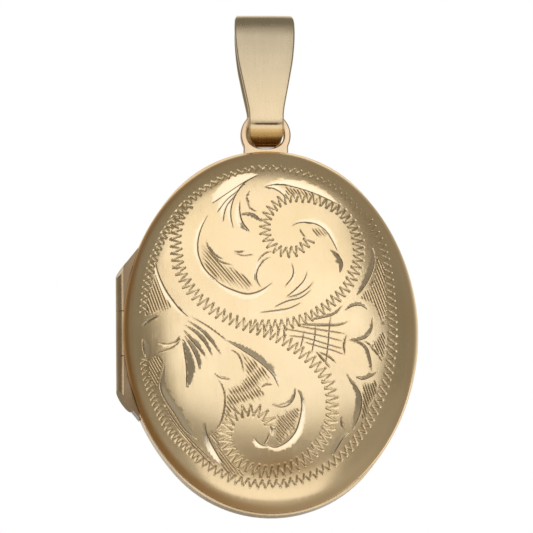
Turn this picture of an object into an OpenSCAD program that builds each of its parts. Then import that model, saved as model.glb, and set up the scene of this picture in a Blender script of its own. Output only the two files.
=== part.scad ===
// Oval locket that opens like a book, hanging from a folded strap bail.
// +Z is up, the engraved front faces -Y, and the origin is the centre of the bail's fold,
// where a chain runs through along X. Millimetres.

/* [Case] */
// Half width of the oval rims
case_a = 11.75; // [10:0.05:14]
// Half height of the oval rims
case_b = 14.65; // [13:0.05:18]
// Thickness of the sheet the covers are pressed from
sheet_t = 0.35; // [0.25:0.05:0.5]
// Height of each rim's visible band
rim_h = 0.95; // [0.8:0.05:1.3]
// Rise of each domed cover above its rim
dome_h = 2.45; // [1.8:0.05:3.5]
// Ledge of the rim that shows around the foot of a cover
rim_step = 0.15; // [0.1:0.05:0.5]

/* [Hinge] */
// Outside radius of the hinge tube
knuckle_r = 0.6; // [0.5:0.05:0.7]
// Radius of the hinge pin
pin_r = 0.28; // [0.2:0.01:0.32]
// Half length of the middle knuckle
middle_half = 1.8; // [1.2:0.1:2.5]
// Half length of the hinge tube before its ends are filed to a slope
tube_half = 6.9; // [5:0.1:7]

/* [Picture frames] */
// Half width of the opening in each rim
open_a = 9.8; // [9:0.1:10.2]
// Height that the snap lip stands into the front half
lip_h = 0.5; // [0.3:0.05:0.6]
// Wall of the snap lip
lip_t = 0.35; // [0.25:0.05:0.4]
// Thickness of a picture bezel
bezel_t = 0.35; // [0.3:0.05:0.4]
// Thickness of a clear window
window_t = 0.18; // [0.1:0.02:0.2]
// Thickness of a picture card
card_t = 0.12; // [0.1:0.02:0.2]

/* [Loop and bail] */
// Outside radius of the loop
loop_r = 2.03; // [1.9:0.01:2.2]
// Radius of the hole in the loop
loop_hole_r = 1.5; // [1.35:0.01:1.6]
// Thickness of the loop, front to back
loop_t = 0.7; // [0.6:0.05:0.9]
// Thickness of the bail's strap
strap_t = 0.4; // [0.3:0.05:0.45]
// Outside radius of the bail's top fold
fold_r = 1.75; // [1.6:0.05:2.0]
// Outside radius of the bail's bottom bend
bend_r = 1.4; // [1.2:0.05:1.5]
// Widest width of the bail
bail_w = 4.9; // [4:0.1:5.5]
// Height of the bail
bail_h = 11.05; // [10:0.05:12]

/* [Hidden] */
$fn = 96;

eps = 0.2;              // overshoot of a cutting solid past the face it cuts
seam_gap = 0.03;        // half the gap between the closed rims
ovalness = case_b - case_a;
end_arc = 1.75;         // how much tighter an oval's end arcs are than its half width
wall = 0.3;             // wall of the collar under each rim
ledge_in = 0.8;         // how far the ledge that carries a picture reaches inwards
ledge_t = 0.25;
slip = 0.05;            // sliding clearance round the lip, the bezels and the windows
bezel_w = 0.75;
shell_a = case_a - rim_step;
skirt = 0.35;           // straight foot of a cover, above its rim

// Depths from the parting plane, into each half
front_bezel_z = lip_h + 0.12;
front_ledge_z = front_bezel_z + bezel_t + window_t + card_t;
back_bezel_z = 0.27;
back_ledge_z = back_bezel_z + bezel_t + window_t + card_t;

// Catch: a ball whose cap clicks into a dimple at the middle of the right side
ball_r = 0.3;
ball_out = 0.13;        // how far the cap stands out from the lip

// Hinge: the axis stands at the straight left side of the case, just below its middle
hinge_x = -(case_a - 0.2);
hinge_rise = -0.1;
bar_w = 1.2;            // width of the bar that carries the knuckles
bar_half = 6.85;        // half length of that bar at its inner edge
bar_taper = 1.5;        // length of its slanted ends
knuckle_gap = 0.04;     // half the gap between two knuckles
swing_gap = 0.08;       // clearance round the other half's knuckle
pin_slip = 0.03;        // running clearance of the pin in the front knuckle
end_slant = atan(bar_taper / bar_w);   // the tube is filed to the slope of the bar's ends
end_tilt = 20;          // and its end faces lean towards the front

// Loop: stands on top of the back rim
loop_z = case_b + loop_hole_r + 0.19;
loop_back = -rim_h;     // its back face, flush with the back rim
loop_foot = 1.85;       // half width of its foot

// Bail: the origin is the centre of its top fold
bail_top = case_b + 0.72 + bail_h;
drop = bail_top - fold_r;              // from the origin down to the case's centre
case_y = loop_back + loop_t / 2;       // brings the loop's middle to Y = 0
bend_z = fold_r - bail_h + bend_r;

// Puts a shape from the case's own frame (x right, y up, z out of the front) in place
module in_case() {
    translate([0, case_y, -drop])
        rotate([90, 0, 0])
            children();
}

// The same for the back half, drawn as if it were a front
module in_back() {
    in_case()
        mirror([0, 0, 1])
            children();
}

// Radius of the long side arcs that run smoothly into end arcs of radius r
function side_arc(a, b, r) = (a * a - r * r + (b - r) * (b - r)) / (2 * (a - r));

// Oval of four arcs, with half width a
module oval(a) {
    b = a + ovalness;
    r = a - end_arc;
    big = side_arc(a, b, r);
    join = big * (b - r) / (big - r);
    for (side = [-1, 1])
        translate([0, side * (b - r)])
            circle(r = r);
    intersection() {
        translate([big - a, 0]) circle(r = big);
        translate([a - big, 0]) circle(r = big);
        square([4 * a, 2 * join], center = true);
    }
}

module oval_disc(a, z0, z1) {
    translate([0, 0, z0])
        linear_extrude(z1 - z0)
            oval(a);
}

module oval_ring(a, hole_a, z0, z1) {
    translate([0, 0, z0])
        linear_extrude(z1 - z0)
            difference() {
                oval(a);
                oval(hole_a);
            }
}

// Height of a cover at a share of its radius: a flat crown that turns over a soft shoulder
function crown(s) = pow(1 - pow(s, 2.6), 0.55);

module dome(a, base, rise, steps = 14) {
    scale([1, (a + ovalness) / a, 1])
        rotate_extrude()
            polygon(concat(
                [[0, 0], [a, 0]],
                [for (i = [0 : steps])
                    let (t = 90 * i / steps)
                    [a * cos(t), base + rise * crown(cos(t))]]
            ));
}

// A cover: one dome less a smaller one, open at the rim, built as a left and a right half
module cover() {
    rise = dome_h - skirt;
    for (side = [-1, 1])
        intersection() {
            difference() {
                dome(shell_a, rim_h + skirt, rise);
                dome(shell_a - sheet_t, rim_h + skirt, rise - sheet_t);
            }
            translate([side > 0 ? 0 : -2 * case_a, -2 * case_b, rim_h])
                cube([2 * case_a, 4 * case_b, 2 * dome_h]);
        }
}

module at_hinge() {
    translate([0, hinge_rise, 0])
        children();
}

// Outline of the straight bar let into the left side of each rim
module bar_outline(reach) {
    foot = bar_half - bar_taper;
    polygon([
        [hinge_x - reach, -foot], [hinge_x, -foot], [hinge_x + bar_w, -bar_half],
        [hinge_x + bar_w, bar_half], [hinge_x, foot], [hinge_x - reach, foot]
    ]);
}

// A rim with its picture seat: the band, a collar inside the cover and a ledge at its foot
module rim(ledge_z) {
    translate([0, 0, seam_gap])
        linear_extrude(rim_h - seam_gap)
            difference() {
                oval(case_a);
                oval(open_a);
                at_hinge() bar_outline(1);
            }
    oval_ring(open_a + wall, open_a, rim_h, ledge_z + ledge_t);
    oval_ring(open_a, open_a - ledge_in, ledge_z, ledge_z + ledge_t);
}

// Round bar along the hinge axis
module hinge_rod(y0, y1, r0, r1) {
    translate([hinge_x, y0, 0])
        rotate([-90, 0, 0])
            cylinder(r1 = r0, r2 = r1, h = y1 - y0);
}

// The bar, hollowed tight over its own knuckles and free of the other half's
module bearer(middle_r, outer_r) {
    at_hinge() difference() {
        translate([0, 0, seam_gap])
            linear_extrude(rim_h - seam_gap)
                bar_outline(0);
        hinge_rod(-middle_half, middle_half, middle_r, middle_r);
        hinge_rod(middle_half, bar_half + eps, outer_r, outer_r);
        hinge_rod(-bar_half - eps, -middle_half, outer_r, outer_r);
    }
}

// What the file takes off the upper end of the hinge
module filed_off() {
    translate([hinge_x, bar_half - bar_taper, 0])
        rotate([0, 0, end_slant])
            rotate([end_tilt, 0, 0])
                translate([-4, 0, -4])
                    cube([8, 4, 8]);
}

module outer_knuckle() {
    y0 = middle_half + knuckle_gap;
    difference() {
        hinge_rod(y0, tube_half, knuckle_r, knuckle_r);
        hinge_rod(y0 - eps, tube_half + eps, pin_r, pin_r);
        filed_off();
    }
}

module catch_ball(r) {
    translate([open_a - slip + ball_out - ball_r, 0, lip_h / 2])
        sphere(r = r);
}

module front_shell() {
    color("#d9bd86") in_case() cover();
}

module front_rim() {
    color("#c9a96c") in_case() difference() {
        union() rim(front_ledge_z);
        catch_ball(ball_r + 0.02);
    }
}

module front_bezel() {
    a = open_a - slip;
    color("#e0c58c") in_case()
        oval_ring(a, a - bezel_w, front_bezel_z, front_bezel_z + bezel_t);
}

module front_window() {
    z = front_bezel_z + bezel_t;
    color([0.9, 0.93, 0.95, 0.4]) in_case()
        oval_disc(open_a - 2 * slip, z, z + window_t);
}

module front_picture() {
    color("#e9e2d2") in_case()
        oval_disc(open_a - 2 * slip, front_ledge_z - card_t, front_ledge_z);
}

module front_hinge_bearer() {
    color("#c9a96c") in_case() bearer(knuckle_r, knuckle_r + swing_gap);
}

module front_hinge_knuckle() {
    half = middle_half - knuckle_gap;
    color("#d2b477") in_case() at_hinge() difference() {
        hinge_rod(-half, half, knuckle_r, knuckle_r);
        hinge_rod(-half - eps, half + eps, pin_r + pin_slip, pin_r + pin_slip);
    }
}

module back_shell() {
    color("#d9bd86") in_back() cover();
}

module back_rim() {
    color("#c9a96c") in_back() rim(back_ledge_z);
}

// Ring soldered inside the back rim, whose free edge snaps into the front rim
module snap_lip() {
    color("#e0c58c") in_back() union() {
        oval_ring(open_a - slip, open_a - lip_t, -lip_h, seam_gap);
        oval_ring(open_a, open_a - lip_t, seam_gap, back_ledge_z);
    }
}

// Cap of a ball soldered on the lip
module catch_pip() {
    color("#e0c58c") in_case() difference() {
        catch_ball(ball_r);
        oval_disc(open_a - slip, -1, 2);
    }
}

module back_bezel() {
    a = open_a - lip_t - slip;
    color("#e0c58c") in_back()
        oval_ring(a, a - bezel_w, back_bezel_z, back_bezel_z + bezel_t);
}

module back_window() {
    z = back_bezel_z + bezel_t;
    color([0.9, 0.93, 0.95, 0.4]) in_back()
        oval_disc(open_a - lip_t - 2 * slip, z, z + window_t);
}

module back_picture() {
    color("#e9e2d2") in_back()
        oval_disc(open_a - lip_t - 2 * slip, back_ledge_z - card_t, back_ledge_z);
}

module back_hinge_bearer() {
    color("#c9a96c") in_back() bearer(knuckle_r + swing_gap, knuckle_r);
}

module upper_hinge_knuckle() {
    color("#d2b477") in_case() at_hinge() outer_knuckle();
}

module lower_hinge_knuckle() {
    color("#d2b477") in_case() at_hinge() mirror([0, 1, 0]) outer_knuckle();
}

module hinge_pin() {
    color("#b8935a") in_case() at_hinge() difference() {
        hinge_rod(-tube_half, tube_half, pin_r, pin_r);
        filed_off();
        mirror([0, 1, 0]) filed_off();
    }
}

// Flat loop with a flared foot, soldered on the top of the back rim
module pendant_loop() {
    color("#e3c48f") in_case() translate([0, 0, loop_back]) difference() {
        linear_extrude(loop_t) difference() {
            union() {
                translate([0, loop_z]) circle(r = loop_r);
                polygon([
                    [-loop_foot, case_b - 0.8], [loop_foot, case_b - 0.8],
                    [1.84, loop_z - 0.86], [-1.84, loop_z - 0.86]
                ]);
            }
            translate([0, loop_z]) circle(r = loop_hole_r);
        }
        oval_disc(case_a, -eps, loop_t + eps);
    }
}

// Side profile of the strap: two bends joined by their common tangents
module strap_side(inset) {
    top_r = fold_r - inset;
    low_r = bend_r - inset;
    lean = asin((top_r - low_r) / -bend_z);
    circle(r = top_r);
    translate([0, bend_z]) circle(r = low_r);
    polygon([
        [top_r * cos(lean), -top_r * sin(lean)], [-top_r * cos(lean), -top_r * sin(lean)],
        [-low_r * cos(lean), bend_z - low_r * sin(lean)],
        [low_r * cos(lean), bend_z - low_r * sin(lean)]
    ]);
}

// Front outline of the strap: broad at the fold, narrow where it passes through the loop
module strap_front() {
    half = bail_w / 2;
    foot = fold_r - bail_h;
    right = [
        [0.72, foot - 0.01], [1.02, foot + 0.15], [1.15, foot + 0.35], [1.29, foot + 0.65],
        [1.36, foot + 1.0], [1.37, foot + 1.9], [1.43, foot + 2.6], [1.6, foot + 3.6],
        [1.8, foot + 4.6], [half - 0.44, foot + 5.7], [half - 0.24, foot + 6.8],
        [half - 0.08, foot + 8.2], [half, foot + 9.6], [half - 0.06, fold_r - 0.4],
        [half - 0.26, fold_r + 0.01]
    ];
    polygon(concat(right, [for (i = [len(right) - 1 : -1 : 0]) [-right[i][0], right[i][1]]]));
}

module bail() {
    color("#dcc08a") intersection() {
        rotate([90, 0, 90])
            linear_extrude(2 * bail_w, center = true)
                difference() {
                    strap_side(0);
                    strap_side(strap_t);
                }
        rotate([90, 0, 0])
            linear_extrude(6 * fold_r, center = true)
                strap_front();
    }
}

front_shell();
front_rim();
front_bezel();
front_window();
front_picture();
front_hinge_bearer();
front_hinge_knuckle();
back_shell();
back_rim();
snap_lip();
catch_pip();
back_bezel();
back_window();
back_picture();
back_hinge_bearer();
upper_hinge_knuckle();
lower_hinge_knuckle();
hinge_pin();
pendant_loop();
bail();
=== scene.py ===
"""The looks of the engraved oval locket: finer meshes, materials, stage, lights and camera.

The covers are drawn in millimetres in the locket's own frame (x right, y up, z out of the front
face), the bail and its loop in millimetres in the row's frame. Each mesh is turned into the
row's frame in metres as it is made. The stage, lights and camera are placed in metres.
"""

import math

import bpy
import numpy as np
from mathutils import Matrix, Vector


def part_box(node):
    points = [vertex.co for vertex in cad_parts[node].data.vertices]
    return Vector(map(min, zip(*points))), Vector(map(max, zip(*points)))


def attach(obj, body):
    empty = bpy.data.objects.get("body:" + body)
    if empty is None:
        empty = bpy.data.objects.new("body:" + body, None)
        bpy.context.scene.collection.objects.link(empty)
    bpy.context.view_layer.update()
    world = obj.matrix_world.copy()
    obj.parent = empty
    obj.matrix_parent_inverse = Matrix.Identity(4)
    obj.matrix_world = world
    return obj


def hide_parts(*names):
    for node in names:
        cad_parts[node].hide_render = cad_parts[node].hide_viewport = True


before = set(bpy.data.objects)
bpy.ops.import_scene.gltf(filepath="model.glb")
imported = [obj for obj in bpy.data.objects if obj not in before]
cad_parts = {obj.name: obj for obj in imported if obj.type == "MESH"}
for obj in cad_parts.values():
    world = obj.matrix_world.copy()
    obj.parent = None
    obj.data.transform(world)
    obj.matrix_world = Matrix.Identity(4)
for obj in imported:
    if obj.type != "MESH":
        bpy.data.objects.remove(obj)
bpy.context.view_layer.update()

MM = 0.001
MICRON = 0.000001


def span(node):
    """Lowest and highest corner of a CAD node, in millimetres."""
    lo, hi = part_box(node)
    return np.array(lo) / MM, np.array(hi) / MM


# ---------------------------------------------------------------- sizes, in millimetres
shell_lo, shell_hi = span("front_shell")
rim_lo, rim_hi = span("front_rim")
pin_lo, pin_hi = span("hinge_pin")
bail_lo, bail_hi = span("bail")
loop_lo, loop_hi = span("pendant_loop")

CENTRE_Z = (shell_lo[2] + shell_hi[2]) / 2
PART_Y = (pin_lo[1] + pin_hi[1]) / 2
COVER_A = (shell_hi[0] - shell_lo[0]) / 2
COVER_B = (shell_hi[2] - shell_lo[2]) / 2
RIM_B = (rim_hi[2] - rim_lo[2]) / 2
FOOT = PART_Y - shell_hi[1]
CROWN = PART_Y - shell_lo[1]
SHEET = 0.35  # thickness of a cover
SKIRT = 0.35  # upright wall at a cover's foot
PLATE_CELL = 0.02  # grid on which the engraving is drawn
CUT_TOLERANCE = 0.0066  # how far the engraved mesh may stray from that drawing
# Points along one side of the square grid of each skin
FINE_GRID = 1025
BACK_GRID = 161
INNER_GRID = 81


def to_row(points, front=True):
    """Locket frame in mm to row frame in metres. The back half is a mirror image."""
    p = np.asarray(points, float)
    depth = p[..., 2] if front else -p[..., 2]
    return np.stack([p[..., 0], PART_Y - depth, CENTRE_Z + p[..., 1]], axis=-1) * MM


# ---------------------------------------------------------------- mesh helpers
def new_object(name, vertices, faces, body, nodes, material):
    """A smooth mesh piece from row-frame vertices, riding on a body in place of CAD nodes."""
    mesh = bpy.data.meshes.new(name)
    mesh.from_pydata([tuple(v) for v in vertices], [], [tuple(f) for f in faces])
    mesh.validate()
    mesh.shade_smooth()
    obj = bpy.data.objects.new(name, mesh)
    bpy.context.collection.objects.link(obj)
    mesh.materials.append(material)
    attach(obj, body)
    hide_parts(*nodes)
    return obj


# ---------------------------------------------------------------- materials
class Nodes:
    """Short calls for building one material's node tree. Scales are per metre."""

    def __init__(self, name):
        self.material = bpy.data.materials.new(name)
        self.material.use_nodes = True
        self.tree = self.material.node_tree
        self.shader = self.tree.nodes["Principled BSDF"]
        self.place = self.add("ShaderNodeTexCoord").outputs["Object"]

    def add(self, kind, **values):
        node = self.tree.nodes.new(kind)
        for key, value in values.items():
            setattr(node, key, value)
        return node

    def link(self, source, target):
        self.tree.links.new(source, target)

    def noise(self, scale, detail=3.0, stretch=(1, 1, 1), tilt=0.0, distortion=0.0):
        """Noise over the piece, from 0 to 1, which can be drawn out along one axis."""
        mapping = self.add("ShaderNodeMapping")
        mapping.inputs["Scale"].default_value = stretch
        mapping.inputs["Rotation"].default_value = (0, tilt, 0)
        self.link(self.place, mapping.inputs["Vector"])
        noise = self.add("ShaderNodeTexNoise")
        noise.inputs["Scale"].default_value = scale
        noise.inputs["Detail"].default_value = detail
        noise.inputs["Distortion"].default_value = distortion
        self.link(mapping.outputs["Vector"], noise.inputs["Vector"])
        return noise.outputs["Fac"]

    def ramp(self, source, low, high, from_low=0.0, from_high=1.0):
        """Turns from_low..from_high into low..high, held at both ends."""
        node = self.add("ShaderNodeMapRange")
        node.inputs["From Min"].default_value = from_low
        node.inputs["From Max"].default_value = from_high
        node.inputs["To Min"].default_value = low
        node.inputs["To Max"].default_value = high
        self.link(source, node.inputs["Value"])
        return node.outputs["Result"]

    def mix(self, share, first, second):
        """Blend of two colours, each a triple or a socket."""
        node = self.add("ShaderNodeMix", data_type="RGBA")
        for socket, value in ((node.inputs[6], first), (node.inputs[7], second)):
            if isinstance(value, tuple):
                socket.default_value = (*value, 1)
            else:
                self.link(value, socket)
        self.link(share, node.inputs[0])
        return node.outputs[2]

    def maths(self, operation, first, second=0.0):
        node = self.add("ShaderNodeMath", operation=operation)
        for socket, value in zip(node.inputs, (first, second)):
            if isinstance(value, (int, float)):
                socket.default_value = value
            else:
                self.link(value, socket)
        return node.outputs[0]

    def attribute(self, name):
        return self.add("ShaderNodeAttribute", attribute_name=name).outputs["Fac"]

    def bump(self, height, distance, under=None):
        node = self.add("ShaderNodeBump")
        node.inputs["Distance"].default_value = distance
        self.link(height, node.inputs["Height"])
        if under is not None:
            self.link(under, node.inputs["Normal"])
        return node.outputs["Normal"]


# Colours painted into the gold: facet highlight, shade at the foot and a low spot, groove shade, bail
# reflections
PAINTED_FACET_HIGHLIGHT = (1.0, 0.87, 0.64)
FOOT_SHADE_AND_SPOT_BROWN = (0.50, 0.26, 0.08)
PAINTED_GROOVE_SHADE = (0.20, 0.105, 0.035)
PAINTED_AMBER_REFLECTION = (0.74, 0.47, 0.17)
PAINTED_BROWN_REFLECTION = (0.28, 0.15, 0.05)
PAINTED_DARK_REFLECTION = (0.11, 0.06, 0.025)


def scratches(nodes, scale, tilt):
    """Thin lines, where a stretched noise crosses its middle value."""
    streak = nodes.noise(scale, 2.0, stretch=(1, 1, 0.04), tilt=tilt)
    away = nodes.maths("ABSOLUTE", nodes.maths("SUBTRACT", streak, 0.5))
    return nodes.ramp(away, 1.0, 0.0, 0.0, 0.012)


def painted_bail_shade_and_reflections(nodes, tint, fold_shade_from, fold_shade_to, fold_shade_colour):
    """Painted shade darkens the bail's gold towards its fold, and painted reflections turn its bottom
    bend amber and brown under a dark line.

    Heights are in the row's frame, in millimetres.
    """
    split = nodes.add("ShaderNodeSeparateXYZ")
    nodes.link(nodes.place, split.inputs[0])
    height = split.outputs["Z"]
    # Painted shade: darker towards the fold at the top
    tint = nodes.mix(nodes.ramp(height, 0.0, 1.0, fold_shade_from * MM, fold_shade_to * MM), tint, fold_shade_colour)
    streaks = nodes.noise(1500, 3.0, stretch=(0.1, 1, 1))
    wavy = nodes.maths("ADD", height, nodes.maths("MULTIPLY", streaks, 0.25 * MM))
    # Painted reflections: amber, then brown, bands low on the bend
    for colour, share, full, none in ((PAINTED_AMBER_REFLECTION, 0.85, -8.10, -7.92), (PAINTED_BROWN_REFLECTION, 0.9, -8.80, -8.45)):
        tint = nodes.mix(nodes.ramp(wavy, share, 0.0, full * MM, none * MM), tint, colour)
    # Painted reflection: a dark line across the strap, strongest in its middle
    dark_reflection_height = -7.60
    off_dark_reflection = nodes.maths("ABSOLUTE", nodes.maths("SUBTRACT", wavy, dark_reflection_height * MM))
    off_middle = nodes.maths("ABSOLUTE", split.outputs["X"])
    on_dark_reflection = nodes.maths("MULTIPLY", nodes.ramp(off_dark_reflection, 0.92, 0.0, 0.05 * MM, 0.13 * MM),
                          nodes.ramp(off_middle, 1.0, 0.15, 0.8 * MM, 1.15 * MM))
    return nodes.mix(on_dark_reflection, tint, PAINTED_DARK_REFLECTION)


def gold(name, colour, worn, roughness, scratch_depth=1.2, engraved=False, painted_fold_shade=None):
    """Nine carat gold: colour drifts a little, scratches and smears vary the gloss."""
    nodes = Nodes(name)
    nodes.shader.inputs["Metallic"].default_value = 1.0
    tint = nodes.mix(nodes.ramp(nodes.noise(260, 4.0), 0.0, 1.0, 0.35, 0.68), colour, worn)
    smear = nodes.noise(420, 5.0, distortion=0.6)
    rough = nodes.ramp(smear, roughness * 0.92, roughness * 1.14, 0.3, 0.7)
    lines = nodes.maths("MAXIMUM", scratches(nodes, 2600, 0.5), scratches(nodes, 2100, -0.9))
    rough = nodes.maths("ADD", rough, nodes.ramp(lines, 0.0, 0.06))
    if engraved:
        # Wide facets are glossier and get a painted highlight in their colour
        gloss_and_painted_highlight = nodes.attribute("gloss_and_painted_highlight")
        rough = nodes.maths("SUBTRACT", rough, nodes.ramp(gloss_and_painted_highlight, 0.0, 0.07))
        tint = nodes.mix(nodes.ramp(gloss_and_painted_highlight, 0.0, 0.8), tint, PAINTED_FACET_HIGHLIGHT)
        # Painted shade, brown, in the crease round the dome's foot, and a brown spot low down
        tint = nodes.mix(nodes.ramp(nodes.attribute("foot_shade_and_brown_spot"), 0.0, 0.95), tint, FOOT_SHADE_AND_SPOT_BROWN)
        # Painted shade along the deep lines of the engraving
        tint = nodes.mix(nodes.ramp(nodes.attribute("cut"), 0.0, 0.9), tint, PAINTED_GROOVE_SHADE)
    # The bail's painted fold shade and painted bend reflections
    if painted_fold_shade:
        tint = painted_bail_shade_and_reflections(nodes, tint, *painted_fold_shade)
    nodes.link(tint, nodes.shader.inputs["Base Color"])
    nodes.link(rough, nodes.shader.inputs["Roughness"])
    grain = nodes.bump(nodes.noise(9000, 3.0), 0.6 * MICRON)
    scored = nodes.bump(lines, scratch_depth * MICRON, under=grain)
    nodes.link(scored, nodes.shader.inputs["Normal"])
    return nodes.material


def clear_sheet():
    """Acetate window: see-through, glossier at a slant, with faint hazing."""
    nodes = Nodes("clear_acetate")
    nodes.shader.inputs["Base Color"].default_value = (0.94, 0.95, 0.94, 1)
    nodes.shader.inputs["IOR"].default_value = 1.48
    slant = nodes.add("ShaderNodeLayerWeight").outputs["Fresnel"]
    nodes.link(nodes.ramp(slant, 0.10, 0.75), nodes.shader.inputs["Alpha"])
    haze = nodes.ramp(nodes.noise(300, 4.0), 0.03, 0.10, 0.3, 0.7)
    nodes.link(haze, nodes.shader.inputs["Roughness"])
    nodes.link(nodes.bump(nodes.noise(700, 3.0), 0.5 * MICRON), nodes.shader.inputs["Normal"])
    return nodes.material


def blank_card():
    """Matt ivory card with paper fibre."""
    nodes = Nodes("blank_card")
    fibre = nodes.ramp(nodes.noise(500, 6.0), 0, 1, 0.3, 0.7)
    tint = nodes.mix(fibre, (0.80, 0.74, 0.62), (0.88, 0.84, 0.74))
    nodes.link(tint, nodes.shader.inputs["Base Color"])
    nodes.link(nodes.ramp(nodes.noise(900, 4.0), 0.7, 0.9), nodes.shader.inputs["Roughness"])
    nodes.link(nodes.bump(nodes.noise(4000, 5.0), 20 * MICRON), nodes.shader.inputs["Normal"])
    return nodes.material


# Each gold: name, colour, worn colour, roughness, depth of its scratches in microns
cover_gold = gold("engraved_gold", (0.92, 0.73, 0.455), (0.88, 0.685, 0.405), 0.195, 0.3, engraved=True)
back_gold = gold("back_gold", (0.90, 0.71, 0.44), (0.84, 0.65, 0.38), 0.20, 0.6)
rim_gold = gold("rim_gold", (0.76, 0.59, 0.36), (0.68, 0.50, 0.28), 0.24)
inner_gold = gold("inner_gold", (0.86, 0.66, 0.39), (0.80, 0.60, 0.34), 0.18)
hinge_gold = gold("hinge_gold", (0.60, 0.46, 0.29), (0.50, 0.35, 0.20), 0.24)
# The hinge bars' gold is much darker than the rest: painted shade
painted_shade_bar_gold = gold("painted_shade_bar_gold", (0.30, 0.215, 0.13), (0.20, 0.13, 0.07), 0.26)
loop_gold = gold("loop_gold", (0.84, 0.65, 0.44), (0.66, 0.48, 0.30), 0.22)
# The bail: painted shade towards its fold, to this colour between these heights, and painted reflections
# on its bend
bail_gold = gold("bail_gold", (0.88, 0.70, 0.44), (0.84, 0.66, 0.40), 0.27, 0.3,
                 painted_fold_shade=(-8.3, -1.5, (0.60, 0.50, 0.345)))
window_clear = clear_sheet()
card_ivory = blank_card()


# ---------------------------------------------------------------- domed covers
def crown(share):
    """Height of a cover at a share of its radius: a flat crown with a soft shoulder."""
    return (1 - share ** 2.6) ** 0.55


def profile(inset=0.0, steps=400):
    """Radial share and height from the crown's middle out to the foot, by arc length."""
    turn = np.linspace(90, 0, steps) * math.pi / 180
    rise = CROWN - FOOT - SKIRT
    share = np.cos(turn)
    height = FOOT + SKIRT + (rise - inset) * crown(share)
    share = np.append(share, 1.0)
    height = np.append(height, FOOT)
    length = np.concatenate([[0], np.cumsum(np.hypot(np.diff(share * COVER_A), np.diff(height)))])
    return length / length[-1], share, height


def cover_surface(u, v, inset=0.0):
    """Points of a cover over the square -1..1, before engraving."""
    x = u * np.sqrt(1 - v * v / 2)
    y = v * np.sqrt(1 - u * u / 2)
    rho = np.clip(np.hypot(x, y), 1e-9, 1)
    at, share, height = profile(inset)
    s = np.interp(rho, at, share)
    z = np.interp(rho, at, height)
    return np.stack([(COVER_A - inset) * s * x / rho, (COVER_B - inset) * s * y / rho, z], axis=-1)


def grid_cover(size, inset, flip):
    """Plain grid of a cover: vertices and faces."""
    line = np.linspace(-1, 1, size)
    u, v = np.meshgrid(line, line)
    points = cover_surface(u, v, inset).reshape(-1, 3)
    i = np.arange(size * size).reshape(size, size)
    quads = np.stack([i[:-1, :-1], i[:-1, 1:], i[1:, 1:], i[1:, :-1]], axis=-1).reshape(-1, 4)
    return points, quads[:, ::-1] if flip else quads


def border(size):
    """Indices of a grid's outline, in order."""
    i = np.arange(size * size).reshape(size, size)
    return np.concatenate([i[0, :-1], i[:-1, -1], i[-1, :0:-1], i[:0:-1, 0]])


def closed_cover(outer, outer_faces, outer_edge, front):
    """An outer skin, an inner skin and the strip of rim that joins their feet."""
    inner, inner_faces = grid_cover(INNER_GRID, SHEET, flip=True)
    edge = border(INNER_GRID)
    points = np.concatenate([outer, inner])
    faces = [tuple(f) for f in outer_faces]
    faces += [tuple(f + len(outer)) for f in inner_faces]
    angle_out = np.unwrap(np.arctan2(outer[outer_edge, 1], outer[outer_edge, 0]))
    angle_in = np.unwrap(np.arctan2(inner[edge, 1], inner[edge, 0]))
    angle_in += 2 * math.pi * round((angle_out[0] - angle_in[0]) / (2 * math.pi))
    # Walk round both outlines together and step on whichever is behind
    i, j, ring, hoop = 0, 0, len(outer_edge), len(edge)
    while i < ring or j < hoop:
        a, b = outer_edge[i % ring], edge[j % hoop] + len(outer)
        next_out = angle_out[(i + 1) % ring] + 2 * math.pi * ((i + 1) // ring)
        next_in = angle_in[(j + 1) % hoop] + 2 * math.pi * ((j + 1) // hoop)
        if j >= hoop or (i < ring and next_out <= next_in):
            i += 1
            faces.append((b, outer_edge[i % ring], a))
        else:
            j += 1
            faces.append((b, edge[j % hoop] + len(outer), a))
    if not front:
        faces = [f[::-1] for f in faces]
    return to_row(points, front), faces


def back_cover():
    """The plain polished cover."""
    outer, outer_faces = grid_cover(BACK_GRID, 0.0, flip=False)
    points, faces = closed_cover(outer, outer_faces, border(BACK_GRID), front=False)
    new_object("back_cover", points, faces, "back_half", ["back_shell"], back_gold)


# ---------------------------------------------------------------- engraving
# Cuts are (left facet, right facet, points): facet widths to each side of the deep line, seen
# along the way the graver runs, and the points of its path from the middle of the cover.
FAN_LEAF = [
    (0.06, 0.85, [(-0.9, 12.3), (-2.1, 11.65), (-3.2, 10.9), (-4.5, 9.95)]),
    (0.05, 0.42, [(-1.9, 11.6), (-2.6, 10.9), (-3.4, 10.2), (-4.2, 9.1)]),
    (0.05, 0.42, [(-2.2, 11.3), (-2.8, 10.5), (-3.4, 9.7), (-3.65, 8.9), (-3.7, 8.3)]),
    (0.05, 0.38, [(-0.9, 12.3), (-2.0, 11.6), (-2.7, 10.6), (-3.05, 9.6), (-3.1, 8.7), (-2.9, 7.7)]),
    (0.05, 0.48, [(-2.35, 10.2), (-2.4, 9.2), (-2.2, 8.3), (-1.6, 7.45)]),
    (0.08, 0.14, [(-1.55, 11.0), (-1.8, 10.4), (-1.6, 9.85)]),
    (0.07, 0.09, [(-1.85, 10.1), (-1.5, 9.45), (-1.0, 9.15)]),
    (0.05, 0.30, [(-2.45, 8.9), (-1.9, 9.05), (-1.3, 8.95), (-0.6, 8.3)]),
]
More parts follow.
